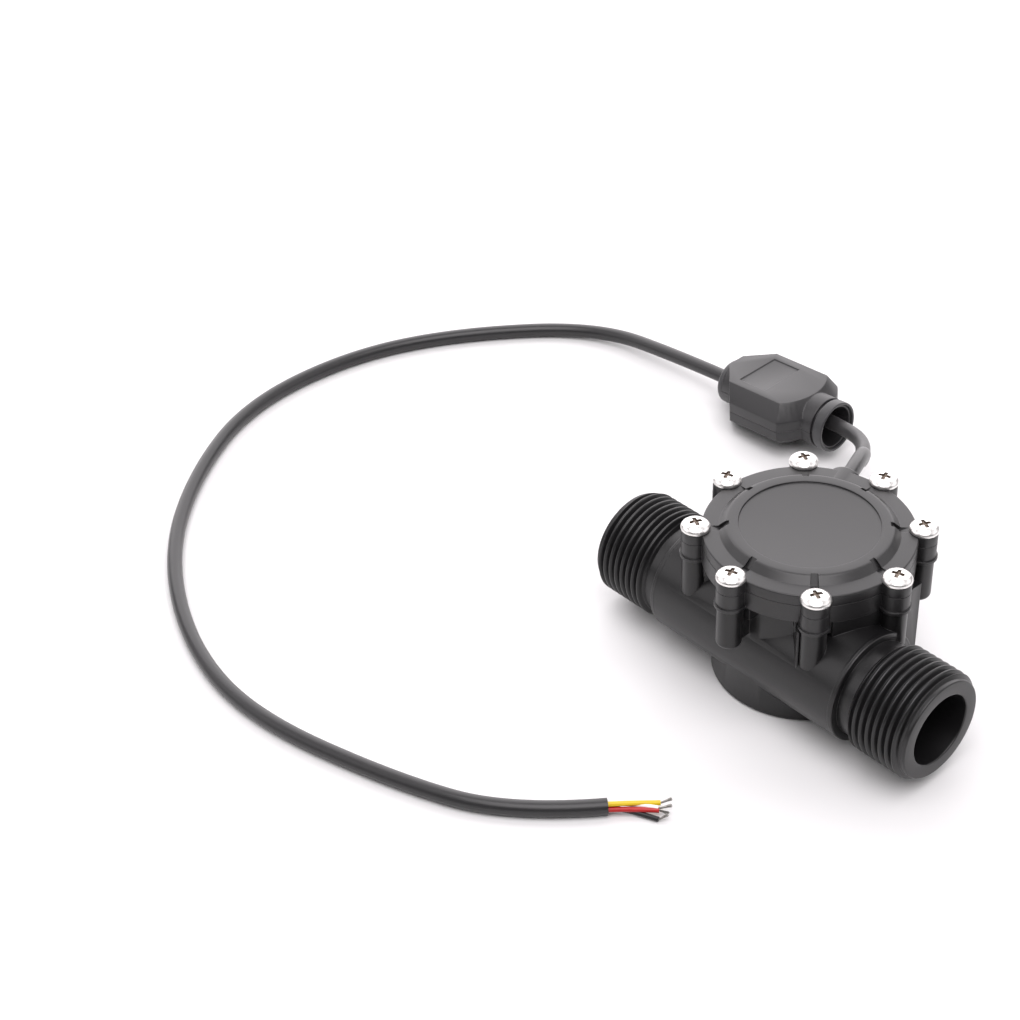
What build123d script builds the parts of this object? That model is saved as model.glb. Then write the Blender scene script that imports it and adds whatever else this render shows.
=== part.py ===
from build123d import *
import math
import os

os.makedirs("parts", exist_ok=True)

# Pipe: a one inch parallel thread at each end, its turns made as plain rings behind a short nose
thread_od = 33.249
thread_pitch = 2.309
thread_turns = 8
thread_crest = 0.5
nose_length = 1.728
face_od = 30.5
neck_od = 29.4
neck_length = 4.1
tube_od = 34.0
tube_length = 70.2
bore_dia = 21.7
bore_chamfer = 0.6
pipe_depth = 21.0
pipe_offset = 11.0
shoulder_chamfer = 1.0

# Chamber: a round drum that stands on its flat foot, open at the top
drum_od = 52.8
drum_wall = 3.8
drum_height = 40.0
foot_chamfer = 0.8
chamber_floor = 4.0
collar_flare = 4.0
collar_height = 10.0
collar_half_width = 17.4
cheek_step = 1.1
cheek_side = 17.3
cheek_base = 6.0
axle_boss_od = 8.0
axle_boss_height = 3.0

# Screw posts round the chamber
post_count = 8
post_offset = 1.6
post_od = 7.4
post_length = 14.0
post_tip_round = 1.6
web_width = 5.0
ear_block_width = 10.4
ear_block_inset = 2.5
ear_block_height = 4.2

# Middle plate and top cover, clamped by the screws
plate_height = 5.8
cover_rim_height = 3.4
plateau_height = 2.0
plateau_inset = 7.0
slope_width = 2.0
disc_border = 3.35
disc_depth = 0.5
ear_od = 8.2
ear_lip = 0.4
ear_lip_height = 0.9
slot_width = 2.2
slot_inset = 1.8
slot_margin = 3.4
slot_depth = 0.3
spigot_height = 3.0
spigot_gap = 0.2
plate_boss_height = 3.0
pocket_wall = 11.9
pocket_depth = 3.8

# Ring seals
seal_width = 1.7
seal_height = 1.5
seal_gap = 0.05
cover_seal_inset = 5.9

# Screws
screw_dia = 4.0
screw_length = 18.0
head_od = 8.6
head_height = 2.5
head_edge = 0.9
head_slope_od = 5.8
head_slope_height = 2.1
head_flat_od = 2.4
cross_width = 1.0
cross_span = 4.6
cross_depth = 1.4
screw_clearance = 0.25
screw_fit = 0.03

# Rotor and its axle
blade_count = 8
blade_thickness = 1.6
blade_sweep = 16.0
rotor_gap = 1.6
hub_od = 11.0
blade_lift = 2.0
disc_thickness = 1.6
magnet_inset = 7.0
magnet_id = 16.0
magnet_height = 3.4
magnet_wall = 1.0
magnet_gap = 0.05
axle_dia = 3.0
axle_seat_depth = 3.0
axle_fit = 0.02
bush_od = 6.0
bush_fit = 0.05
bush_gap = 0.02
washer_od = 7.0
washer_thickness = 0.8
end_play = 0.3

# Sensor board in the dry pocket
board_width = 11.0
board_edge = 2.75
board_gap = 2.07
board_thickness = 1.6
hall_length = 4.2
hall_width = 3.2
hall_height = 1.5

# Cable outlet between two posts
outlet_angle = 112.5
outlet_rise = 4.0
outlet_start = 22.0
hood_od = 11.0
hood_stand = 2.0
hood_spacing = 1.2
grommet_od = 7.0
grommet_fit = 0.05
grommet_inset = 0.6
lead_start = 26.0
cable_dia = 4.8

# Signal converter, an inline box on the cable that tips up a little towards the sensor
converter_point = (-85.93, 84.96, 10.2)
converter_yaw = 1.2
converter_pitch = 3.7
shell_half_width = 15.5
shell_half_height = 8.9
shell_side = 3.5
top_half_width = 11.9
bottom_half_width = 9.0
flat_front = 9.5
flat_nose = 14.0
flat_back = 15.0
flat_point = 20.4
point_half_width = 4.0
neck_dia = 17.3
neck_reach = 19.6
front_sleeve_length = 3.6
front_groove = 0.9
spigot_dia = 15.4
spigot_inset = 0.8
mouth_dia = 13.8
mouth_floor = 15.0
sleeve_fit = 0.05
tail_reach = 20.6
tail_flat_from = 9.5
tail_flat_run = 10.1
tail_flat_inset = 11.2
tail_seat_reach = 8.0
tail_seat = 1.0
tail_sleeve_dia = 15.2
tail_sleeve_length = 3.5
tail_round = 2.4
cavity_length = 24.0
cavity_width = 20.0
cavity_below = 3.0
cavity_above = 4.5
converter_board_gap = 0.3
converter_board_thickness = 1.6
converter_chip_length = 7.0
converter_chip_width = 5.0
converter_chip_height = 1.8
label_length = 11.0
label_width = 17.4
label_depth = 0.4
label_shift = -5.4

# Cores at the free end of the cable
core_dia = 1.5
core_offset = 0.88
core_straight = 4.0
strand_dia = 0.8

# Routes of the two cords, as the corner points of their runs
lead_points = [
    (-9.95, 24.02, 44.0),
    (-19.84, 47.9, 44.0),
    (-33.03, 61.56, 23.3),
    (-44.4, 78.63, 17.1),
    (-57.32, 84.9, 13.67),
    (-71.03, 84.61, 12.78),
]
cable_points = [
    (-105.49, 84.55, 8.94),
    (-130.83, 84.02, 7.3),
    (-172.0, 82.3, 2.45),
    (-204.0, 43.7, 2.45),
    (-220.1, 6.3, 2.45),
    (-220.4, -38.9, 2.45),
    (-199.2, -76.9, 2.45),
    (-169.3, -107.6, 2.45),
    (-128.8, -128.4, 2.45),
    (-90.6, -133.7, 2.45),
    (-42.0, -120.9, 2.45),
    (-10.1, -106.3, 2.45),
    (6.1, -84.9, 2.45),
]
# Each core: its side and height on the jacket's end, where it ends and where its bare strands end
core_ends = {
    "yellow": (-1, 1, (14.6, -74.4, 3.4), (16.4, -71.2, 3.9)),
    "white": (1, 1, (15.9, -75.6, 3.2), (18.0, -72.5, 3.4)),
    "red": (-1, -1, (15.9, -76.3, 1.6), (18.3, -73.7, 1.7)),
    "black": (1, -1, (17.4, -78.0, 0.9), (20.0, -75.2, 0.9)),
}

# Levels and radii that follow from the sizes above
half_tube = tube_length / 2
thread_start = half_tube + neck_length
thread_end = thread_start + thread_turns * thread_pitch
thread_flank = (thread_pitch - thread_crest) / 2
half_pipe = thread_end + nose_length
pipe_height = drum_height - pipe_depth
drum_r = drum_od / 2
collar_r = drum_r + collar_flare
chamber_r = drum_r - drum_wall
rotor_r = chamber_r - rotor_gap
magnet_r = rotor_r - magnet_inset
hall_radius = (magnet_r + magnet_id / 2) / 2
board_outer = hall_radius + board_edge
cheek_reach = drum_r + cheek_step
collar_base = drum_height - collar_height
post_base = drum_height - post_length
outlet_height = drum_height + outlet_rise
plateau_r = collar_r - plateau_inset
disc_r = plateau_r - disc_border
pocket_r = collar_r - pocket_wall
board_length = 2 * math.sqrt((pocket_r - board_gap) ** 2 - board_outer**2)
cover_seal_r = collar_r - cover_seal_inset
hood_reach = collar_r + hood_stand
grommet_end = hood_reach - grommet_inset
plate_top = drum_height + plate_height
rim_top = plate_top + cover_rim_height
plateau_top = rim_top + plateau_height
post_r = collar_r + post_offset
ear_block_outer = post_r - ear_block_inset
slot_start = plateau_r - slot_inset
slot_end = post_r - slot_margin
boss_top = chamber_floor + axle_boss_height
spigot_bottom = drum_height - spigot_height
plate_boss_bottom = spigot_bottom - plate_boss_height
lower_washer_top = boss_top + washer_thickness
upper_washer_bottom = plate_boss_bottom - washer_thickness
rotor_bottom = lower_washer_top + end_play
rotor_top = upper_washer_bottom - end_play
magnet_base = rotor_top - magnet_height
disc_bottom = magnet_base - disc_thickness
axle_bottom = boss_top - axle_seat_depth
axle_top = plate_boss_bottom + axle_seat_depth
pocket_floor = plate_top - pocket_depth
body_seal_inner = chamber_r + seal_gap
body_seal_outer = body_seal_inner + seal_width

converter_plane = Plane(
    origin=converter_point,
    x_dir=(
        math.cos(math.radians(converter_yaw)) * math.cos(math.radians(converter_pitch)),
        math.sin(math.radians(converter_yaw)) * math.cos(math.radians(converter_pitch)),
        math.sin(math.radians(converter_pitch)),
    ),
    z_dir=(
        -math.cos(math.radians(converter_yaw)) * math.sin(math.radians(converter_pitch)),
        -math.sin(math.radians(converter_yaw)) * math.sin(math.radians(converter_pitch)),
        math.cos(math.radians(converter_pitch)),
    ),
)


def converter_spot(along, across, up):
    """A point of the room given along, across and above the converter's own axis."""
    return converter_plane.from_local_coords(Vector(along, across, up))


def converter_station(along):
    """A plane square to the converter's axis, facing along it."""
    return Plane(
        origin=converter_spot(along, 0, 0), x_dir=converter_plane.y_dir, z_dir=converter_plane.x_dir
    )


def outlet_plane(reach):
    """A plane square to the cable outlet, facing outwards, at that reach from the rotor's axis."""
    angle = math.radians(outlet_angle)
    out = (math.cos(angle), math.sin(angle), 0)
    return Plane(
        origin=(reach * out[0], reach * out[1], outlet_height), x_dir=(-out[1], out[0], 0), z_dir=out
    )


# One screw post with its rounded tip, repeated round the chamber as part of the housing
with BuildPart() as post:
    with BuildSketch(Plane.XY.offset(post_base)):
        Circle(post_od / 2)
    extrude(amount=drum_height - post_base)
    fillet(post.edges().group_by(Axis.Z)[0], post_tip_round)

# Half of the pipe's outline, from the main tube past the neck and the thread's rings to the nose
pipe_outline = [
    (half_tube - shoulder_chamfer, tube_od / 2),
    (half_tube, tube_od / 2 - shoulder_chamfer),
    (half_tube, neck_od / 2),
    (thread_start, neck_od / 2),
]
for turn in range(thread_turns):
    ring_start = thread_start + turn * thread_pitch
    pipe_outline.append((ring_start, face_od / 2))
    pipe_outline.append((ring_start + thread_flank, thread_od / 2))
    pipe_outline.append((ring_start + thread_flank + thread_crest, thread_od / 2))
pipe_outline.append((thread_end, face_od / 2))
pipe_outline.append((half_pipe, face_od / 2))

# Housing: pipe, chamber, collar and posts in one moulding
pipe_plane = Plane(origin=(0, -pipe_offset, pipe_height), x_dir=(0, 1, 0), z_dir=(1, 0, 0))
with BuildPart() as housing:
    with BuildSketch(Plane.XY):
        Circle(drum_r)
    extrude(amount=drum_height)
    foot_edge = housing.edges().group_by(Axis.Z)[0]
    chamfer(foot_edge, foot_chamfer)
    # Cheeks that join the pipe to the side of the chamber
    with BuildSketch(Plane.XY.offset(cheek_base)):
        with Locations((0, (cheek_side - pipe_offset) / 2)):
            Rectangle(2 * cheek_reach, cheek_side + pipe_offset)
    extrude(amount=drum_height - ear_block_height - cheek_base)
    # Collar over the pipe, under the cover's rim
    with BuildSketch(Plane.XY.offset(collar_base)):
        Circle(collar_r)
        Rectangle(2 * collar_r + 2, 2 * collar_half_width, mode=Mode.INTERSECT)
    extrude(amount=drum_height - collar_base)
    # The pipe with its necks and threads, turned about its own axis
    with BuildSketch(Plane(origin=(0, -pipe_offset, pipe_height), x_dir=(1, 0, 0), z_dir=(0, -1, 0))):
        with BuildLine():
            inlet_half = [(-along, out) for along, out in reversed(pipe_outline)]
            Polyline((-half_pipe, 0), *inlet_half, *pipe_outline, (half_pipe, 0), close=True)
        make_face()
    revolve(axis=Axis((0, -pipe_offset, pipe_height), (1, 0, 0)))
    # Posts, webs and the blocks under the joint
    with PolarLocations(post_r, post_count):
        add(post.part)
    with BuildSketch(Plane.XY.offset(post_base + post_tip_round)):
        with PolarLocations((drum_r + post_r) / 2 - 1, post_count):
            Rectangle(post_r - drum_r + 2, web_width)
    extrude(amount=drum_height - post_base - post_tip_round)
    with BuildSketch(Plane.XY.offset(drum_height - ear_block_height)):
        with PolarLocations((drum_r + ear_block_outer) / 2 - 1, post_count):
            Rectangle(ear_block_outer - drum_r + 2, ear_block_width)
    extrude(amount=ear_block_height)
    # Hollow chamber with its axle boss, seal seat, pipe bore and screw holes
    with BuildSketch(Plane.XY.offset(chamber_floor)):
        Circle(chamber_r)
        Circle(axle_boss_od / 2, mode=Mode.SUBTRACT)
    extrude(amount=axle_boss_height, mode=Mode.SUBTRACT)
    with BuildSketch(Plane.XY.offset(boss_top)):
        Circle(chamber_r)
    extrude(amount=drum_height - boss_top, mode=Mode.SUBTRACT)
    with BuildSketch(Plane.XY.offset(axle_bottom)):
        Circle(axle_dia / 2 + axle_fit)
    extrude(amount=boss_top - axle_bottom, mode=Mode.SUBTRACT)
    with BuildSketch(Plane.XY.offset(drum_height - seal_height)):
        Circle(body_seal_outer + seal_gap)
    extrude(amount=seal_height, mode=Mode.SUBTRACT)
    with BuildSketch(pipe_plane.offset(chamber_r / 2)):
        Circle(bore_dia / 2)
    extrude(amount=half_pipe - chamber_r / 2, mode=Mode.SUBTRACT)
    with BuildSketch(pipe_plane.offset(-half_pipe)):
        Circle(bore_dia / 2)
    extrude(amount=half_pipe - chamber_r / 2, mode=Mode.SUBTRACT)
    with BuildSketch(Plane.XY.offset(rim_top - screw_length)):
        with PolarLocations(post_r, post_count):
            Circle(screw_dia / 2 + screw_fit)
    extrude(amount=screw_length, mode=Mode.SUBTRACT)
    mouths = housing.edges().filter_by(GeomType.CIRCLE).filter_by(
        lambda e: abs(e.radius - bore_dia / 2) < 1e-4 and abs(abs(e.center().X) - half_pipe) < 1e-4
    )
    chamfer(mouths, bore_chamfer)
housing.part.label = "housing"
export_step(housing.part, "parts/housing.step")

# Middle plate: shuts the wet chamber and holds the sensor board
with BuildPart() as middle_plate:
    with BuildSketch(Plane.XY.offset(drum_height)):
        Circle(collar_r)
        with PolarLocations(post_r, post_count):
            Circle(ear_od / 2)
    extrude(amount=plate_height)
    with BuildSketch(Plane.XY.offset(drum_height)):
        with PolarLocations(post_r, post_count):
            Circle(ear_od / 2 + ear_lip)
    extrude(amount=ear_lip_height)
    with BuildSketch(Plane.XY.offset(spigot_bottom)):
        Circle(chamber_r - spigot_gap)
    extrude(amount=spigot_height)
    with BuildSketch(Plane.XY.offset(plate_boss_bottom)):
        Circle(axle_boss_od / 2)
    extrude(amount=plate_boss_height)
    # Lower part of the hood round the cable outlet
    with BuildSketch(outlet_plane(outlet_start)):
        Circle(hood_od / 2)
        with Locations((0, 0)):
            Rectangle(hood_od, 2 * (outlet_height - drum_height), mode=Mode.INTERSECT)
    extrude(amount=hood_reach - outlet_start)
    split(bisect_by=Plane.XY.offset(plate_top), keep=Keep.BOTTOM)
    with BuildSketch(Plane.XY.offset(pocket_floor)):
        Circle(pocket_r)
    extrude(amount=pocket_depth, mode=Mode.SUBTRACT)
    with BuildSketch(Plane.XY.offset(plate_top - seal_height)):
        Circle(cover_seal_r + seal_width / 2 + seal_gap)
        Circle(cover_seal_r - seal_width / 2 - seal_gap, mode=Mode.SUBTRACT)
    extrude(amount=seal_height, mode=Mode.SUBTRACT)
    with BuildSketch(Plane.XY.offset(plate_boss_bottom)):
        Circle(axle_dia / 2 + axle_fit)
    extrude(amount=axle_seat_depth, mode=Mode.SUBTRACT)
    with BuildSketch(outlet_plane(pocket_r - 1)):
        Circle(cable_dia / 2)
    extrude(amount=outlet_start, mode=Mode.SUBTRACT)
    with BuildSketch(outlet_plane(lead_start - 1)):
        Circle(grommet_od / 2)
    extrude(amount=outlet_start, mode=Mode.SUBTRACT)
    with BuildSketch(Plane.XY.offset(drum_height)):
        with PolarLocations(post_r, post_count):
            Circle(screw_dia / 2 + screw_clearance)
    extrude(amount=plate_height, mode=Mode.SUBTRACT)
middle_plate.part.label = "middle_plate"
export_step(middle_plate.part, "parts/middle_plate.step")

# Top cover: rim, raised plateau with a sunk disc, ears, radial slots and the hood
with BuildPart() as top_cover:
    with BuildSketch(Plane.XZ):
        with BuildLine():
            Polyline(
                (0, plate_top),
                (collar_r, plate_top),
                (collar_r, rim_top - 0.4),
                (collar_r - 0.4, rim_top),
                (plateau_r + slope_width, rim_top),
                (plateau_r, plateau_top),
                (disc_r, plateau_top),
                (disc_r, plateau_top - disc_depth),
                (0, plateau_top - disc_depth),
                close=True,
            )
        make_face()
    revolve(axis=Axis.Z)
    with BuildSketch(Plane.XY.offset(plate_top)):
        with PolarLocations(post_r, post_count):
            Circle(ear_od / 2)
    extrude(amount=cover_rim_height)
    with BuildSketch(outlet_plane(outlet_start)):
        Circle(hood_od / 2)
    extrude(amount=hood_reach - outlet_start)
    split(bisect_by=Plane.XY.offset(plate_top), keep=Keep.TOP)
    with BuildSketch(Plane.XY.offset(rim_top - slot_depth)):
        with PolarLocations((slot_start + slot_end) / 2, post_count):
            Rectangle(slot_end - slot_start, slot_width)
    extrude(amount=plateau_height + slot_depth, mode=Mode.SUBTRACT)
    with BuildSketch(outlet_plane(lead_start - 1)):
        Circle(grommet_od / 2)
    extrude(amount=outlet_start, mode=Mode.SUBTRACT)
    with BuildSketch(outlet_plane(pocket_r - 1)):
        Circle(cable_dia / 2)
    extrude(amount=outlet_start, mode=Mode.SUBTRACT)
    with BuildSketch(Plane.XY.offset(plate_top)):
        with PolarLocations(post_r, post_count):
            Circle(screw_dia / 2 + screw_clearance)
    extrude(amount=plateau_height + cover_rim_height, mode=Mode.SUBTRACT)
top_cover.part.label = "top_cover"
export_step(top_cover.part, "parts/top_cover.step")

# Ring seals, one on the chamber's top edge and one under the cover
with BuildPart() as chamber_seal:
    with BuildSketch(Plane.XY.offset(drum_height - seal_height)):
        Circle(body_seal_outer)
        Circle(body_seal_inner, mode=Mode.SUBTRACT)
    extrude(amount=seal_height)
chamber_seal.part.label = "chamber_seal"
export_step(chamber_seal.part, "parts/chamber_seal.step")

with BuildPart() as cover_seal:
    with BuildSketch(Plane.XY.offset(plate_top - seal_height)):
        Circle(cover_seal_r + seal_width / 2)
        Circle(cover_seal_r - seal_width / 2, mode=Mode.SUBTRACT)
    extrude(amount=seal_height)
    with BuildSketch(outlet_plane(outlet_start)):
        Circle(grommet_od / 2 + hood_spacing)
    extrude(amount=outlet_start, mode=Mode.SUBTRACT)
cover_seal.part.label = "cover_seal"
export_step(cover_seal.part, "parts/cover_seal.step")

# Pan head screws with a cross recess, one on each post
for number in range(post_count):
    angle = math.radians(360 / post_count * number)
    spot = Plane.XY.offset(rim_top).move(Location((post_r * math.cos(angle), post_r * math.sin(angle), 0)))
    with BuildPart() as screw:
        with BuildSketch(Plane(origin=spot.origin, x_dir=(1, 0, 0), z_dir=(0, -1, 0))):
            with BuildLine():
                Polyline(
                    (0, -screw_length),
                    (screw_dia / 2 - 0.5, -screw_length),
                    (screw_dia / 2, -screw_length + 0.5),
                    (screw_dia / 2, 0),
                    (head_od / 2, 0),
                    (head_od / 2, head_edge),
                    (head_slope_od / 2, head_slope_height),
                    (head_flat_od / 2, head_height),
                    (0, head_height),
                    close=True,
                )
            make_face()
        revolve(axis=Axis(spot.origin, (0, 0, 1)))
        with BuildSketch(spot.offset(head_height - cross_depth)):
            Rectangle(cross_span, cross_width, rotation=20 + 45 * number)
            Rectangle(cross_width, cross_span, rotation=20 + 45 * number)
        extrude(amount=head_height, mode=Mode.SUBTRACT)
    screw.part.label = f"screw_{number + 1}"
    export_step(screw.part, f"parts/screw_{number + 1}.step")

# Rotor: hub, swept blades and the disc that carries the magnet
root_r = hub_od / 2 - 0.5
tip_r = rotor_r
mid_r = (root_r + tip_r) / 2
blade_angle = math.radians(blade_sweep)
half_blade = blade_thickness / 2
with BuildPart() as rotor:
    with BuildSketch(Plane.XY.offset(rotor_bottom)):
        Circle(hub_od / 2)
    extrude(amount=rotor_top - rotor_bottom)
    with BuildSketch(Plane.XY.offset(rotor_bottom + blade_lift)):
        with PolarLocations(0, blade_count):
            with BuildLine():
                lower = ThreePointArc(
                    (root_r, -half_blade),
                    (mid_r, mid_r * math.sin(blade_angle) * 0.35 - half_blade),
                    (tip_r * math.cos(blade_angle), tip_r * math.sin(blade_angle) - half_blade),
                )
                upper = ThreePointArc(
                    (root_r, half_blade),
                    (mid_r, mid_r * math.sin(blade_angle) * 0.35 + half_blade),
                    (tip_r * math.cos(blade_angle), tip_r * math.sin(blade_angle) + half_blade),
                )
                Line(lower @ 0, upper @ 0)
                Line(lower @ 1, upper @ 1)
            make_face()
        Circle(tip_r, mode=Mode.INTERSECT)
    extrude(amount=disc_bottom - rotor_bottom - blade_lift)
    with BuildSketch(Plane.XY.offset(disc_bottom)):
        Circle(tip_r)
    extrude(amount=disc_thickness)
    with BuildSketch(Plane.XY.offset(magnet_base)):
        Circle(magnet_r + magnet_gap + magnet_wall)
        Circle(magnet_r + magnet_gap, mode=Mode.SUBTRACT)
    extrude(amount=magnet_height / 2)
    with BuildSketch(Plane.XY.offset(rotor_bottom)):
        Circle(bush_od / 2 + bush_gap)
    extrude(amount=rotor_top - rotor_bottom, mode=Mode.SUBTRACT)
rotor.part.label = "rotor"
export_step(rotor.part, "parts/rotor.step")

with BuildPart() as rotor_magnet:
    with BuildSketch(Plane.XY.offset(magnet_base)):
        Circle(magnet_r)
        Circle(magnet_id / 2, mode=Mode.SUBTRACT)
    extrude(amount=magnet_height)
rotor_magnet.part.label = "rotor_magnet"
export_step(rotor_magnet.part, "parts/rotor_magnet.step")

with BuildPart() as rotor_bush:
    with BuildSketch(Plane.XY.offset(rotor_bottom)):
        Circle(bush_od / 2)
        Circle(axle_dia / 2 + bush_fit, mode=Mode.SUBTRACT)
    extrude(amount=rotor_top - rotor_bottom)
rotor_bush.part.label = "rotor_bush"
export_step(rotor_bush.part, "parts/rotor_bush.step")

# Steel axle held in the chamber's floor and in the plate, with a thrust washer at each end
with BuildPart() as axle:
    with BuildSketch(Plane.XY.offset(axle_bottom)):
        Circle(axle_dia / 2)
    extrude(amount=axle_top - axle_bottom)
    chamfer(axle.edges().filter_by(GeomType.CIRCLE), 0.3)
axle.part.label = "axle"
export_step(axle.part, "parts/axle.step")

with BuildPart() as lower_washer:
    with BuildSketch(Plane.XY.offset(boss_top)):
        Circle(washer_od / 2)
        Circle(axle_dia / 2 + axle_fit, mode=Mode.SUBTRACT)
    extrude(amount=washer_thickness)
lower_washer.part.label = "lower_washer"
export_step(lower_washer.part, "parts/lower_washer.step")

with BuildPart() as upper_washer:
    with BuildSketch(Plane.XY.offset(upper_washer_bottom)):
        Circle(washer_od / 2)
        Circle(axle_dia / 2 + axle_fit, mode=Mode.SUBTRACT)
    extrude(amount=washer_thickness)
upper_washer.part.label = "upper_washer"
export_step(upper_washer.part, "parts/upper_washer.step")

# Sensor board on the pocket's floor, its switch over the magnet's ring
with BuildPart() as sensor_board:
    with BuildSketch(Plane.XY.offset(pocket_floor)):
        with Locations((0, board_outer - board_width / 2)):
            RectangleRounded(board_length, board_width, 1.0)
    extrude(amount=board_thickness)
sensor_board.part.label = "sensor_board"
export_step(sensor_board.part, "parts/sensor_board.step")

with BuildPart() as hall_switch:
    with BuildSketch(Plane.XY.offset(pocket_floor + board_thickness)):
        with Locations((0, hall_radius)):
            Rectangle(hall_length, hall_width)
    extrude(amount=hall_height)
    chamfer(hall_switch.edges().group_by(Axis.Z)[-1], 0.25)
hall_switch.part.label = "hall_switch"
export_step(hall_switch.part, "parts/hall_switch.step")

# Grommet and the lead that leaves the sensor through it
with BuildPart() as cable_grommet:
    with BuildSketch(outlet_plane(lead_start - 1)):
        Circle(grommet_od / 2)
        Circle(cable_dia / 2 + grommet_fit, mode=Mode.SUBTRACT)
    extrude(amount=grommet_end - lead_start + 1)
cable_grommet.part.label = "cable_grommet"
export_step(cable_grommet.part, "parts/cable_grommet.step")


def cord_radii(points):
    """The radius of each bend, as large as its two runs allow."""
    radii = []
    for before, corner, after in zip(points, points[1:], points[2:]):
        first = Vector(*corner) - Vector(*before)
        second = Vector(*after) - Vector(*corner)
        half_turn = math.radians(first.get_angle(second)) / 2
        radii.append(0.45 * min(first.length, second.length) / math.tan(half_turn))
    return radii


lead_radii = cord_radii(lead_points)
with BuildPart() as sensor_lead:
    with BuildLine() as lead_path:
        FilletPolyline(*lead_points, radius=lead_radii)
    lead_wire = lead_path.wires()[0]
    with BuildSketch(Plane(origin=lead_points[0], z_dir=lead_wire % 0)):
        Circle(cable_dia / 2)
    sweep(path=lead_wire)
sensor_lead.part.label = "sensor_lead"
export_step(sensor_lead.part, "parts/sensor_lead.step")
print("lead radii", [round(r, 1) for r in lead_radii], "length", round(lead_wire.length, 1))
lead_ideal = math.pi * cable_dia**2 / 4 * lead_wire.length
print("lead volume over section times length", round(sensor_lead.part.volume / lead_ideal, 4))

cable_radii = cord_radii(cable_points)
with BuildPart() as main_cable:
    with BuildLine() as cable_path:
        FilletPolyline(*cable_points, radius=cable_radii)
    cable_wire = cable_path.wires()[0]
    with BuildSketch(Plane(origin=cable_points[0], z_dir=cable_wire % 0)):
        Circle(cable_dia / 2)
    sweep(path=cable_wire)
main_cable.part.label = "main_cable"
export_step(main_cable.part, "parts/main_cable.step")
print("cable radii", [round(r, 1) for r in cable_radii], "length", round(cable_wire.length, 1))
cable_ideal = math.pi * cable_dia**2 / 4 * cable_wire.length
print("cable volume over section times length", round(main_cable.part.volume / cable_ideal, 4))

# Converter: one faceted body, split along its middle into an upper and a lower shell
shell_slope = shell_half_height - shell_side
top_taper = math.degrees(math.atan((shell_half_width - top_half_width) / shell_slope))
bottom_taper = math.degrees(math.atan((shell_half_width - bottom_half_width) / shell_slope))
with BuildPart() as converter_body:
    with BuildSketch(converter_plane.offset(-shell_side)) as plan:
        with BuildLine():
            Polyline(
                (flat_front, top_half_width),
                (-flat_back, top_half_width),
                (-flat_point, point_half_width),
                (-flat_point, -point_half_width),
                (-flat_back, -top_half_width),
                (flat_front, -top_half_width),
            )
            ThreePointArc((flat_front, -top_half_width), (flat_nose, 0), (flat_front, top_half_width))
        make_face()
        offset(amount=shell_half_width - top_half_width, kind=Kind.INTERSECTION)
    extrude(amount=2 * shell_side)
    with BuildSketch(converter_plane.offset(shell_side)):
        add(plan.sketch_local)
    extrude(amount=shell_slope, taper=top_taper)
    with BuildSketch(converter_plane.offset(-shell_side)):
        add(plan.sketch_local)
    extrude(amount=-shell_slope, taper=bottom_taper)
    split(bisect_by=converter_station(-tail_reach), keep=Keep.TOP)
    # The tail narrows on two upright flats to a round seat for its sleeve
    for side in (1, -1):
        flat_way = side * tail_flat_run * converter_plane.y_dir - tail_flat_inset * converter_plane.x_dir
        flat_start = converter_spot(-tail_flat_from, side * shell_half_width, 0)
        split(bisect_by=Plane(origin=flat_start, z_dir=flat_way), keep=Keep.BOTTOM)
    with BuildSketch(converter_station(-tail_reach)):
        Circle(tail_sleeve_dia / 2)
    extrude(amount=tail_seat_reach)
    # Round neck and the spigot that carries the front sleeve
    with BuildSketch(converter_station(flat_front)):
        Circle(neck_dia / 2)
    extrude(amount=neck_reach - flat_front)
    with BuildSketch(converter_station(neck_reach)):
        Circle(spigot_dia / 2)
    extrude(amount=front_groove + front_sleeve_length - spigot_inset)
    with BuildSketch(converter_station(mouth_floor)):
        Circle(mouth_dia / 2)
    extrude(amount=neck_reach, mode=Mode.SUBTRACT)
    with BuildSketch(converter_station(-tail_reach)):
        Circle(cable_dia / 2 + grommet_fit)
    extrude(amount=tail_seat, mode=Mode.SUBTRACT)
    with BuildSketch(converter_plane.offset(-cavity_below)):
        Rectangle(cavity_length, cavity_width)
    extrude(amount=cavity_below + cavity_above, mode=Mode.SUBTRACT)
    with BuildSketch(converter_plane.offset(shell_half_height - label_depth)):
        with Locations((label_shift, 0)):
            Rectangle(label_length, label_width)
    extrude(amount=label_depth, mode=Mode.SUBTRACT)

with BuildPart() as converter_lower:
    add(converter_body.part)
    split(bisect_by=converter_plane, keep=Keep.BOTTOM)
converter_lower.part.label = "converter_lower"
export_step(converter_lower.part, "parts/converter_lower.step")

with BuildPart() as converter_upper:
    add(converter_body.part)
    split(bisect_by=converter_plane, keep=Keep.TOP)
converter_upper.part.label = "converter_upper"
export_step(converter_upper.part, "parts/converter_upper.step")

with BuildPart() as front_sleeve:
    with BuildSketch(converter_station(neck_reach + front_groove)):
        Circle(neck_dia / 2)
        Circle(spigot_dia / 2 + sleeve_fit, mode=Mode.SUBTRACT)
    extrude(amount=front_sleeve_length)
front_sleeve.part.label = "front_sleeve"
export_step(front_sleeve.part, "parts/front_sleeve.step")

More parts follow.
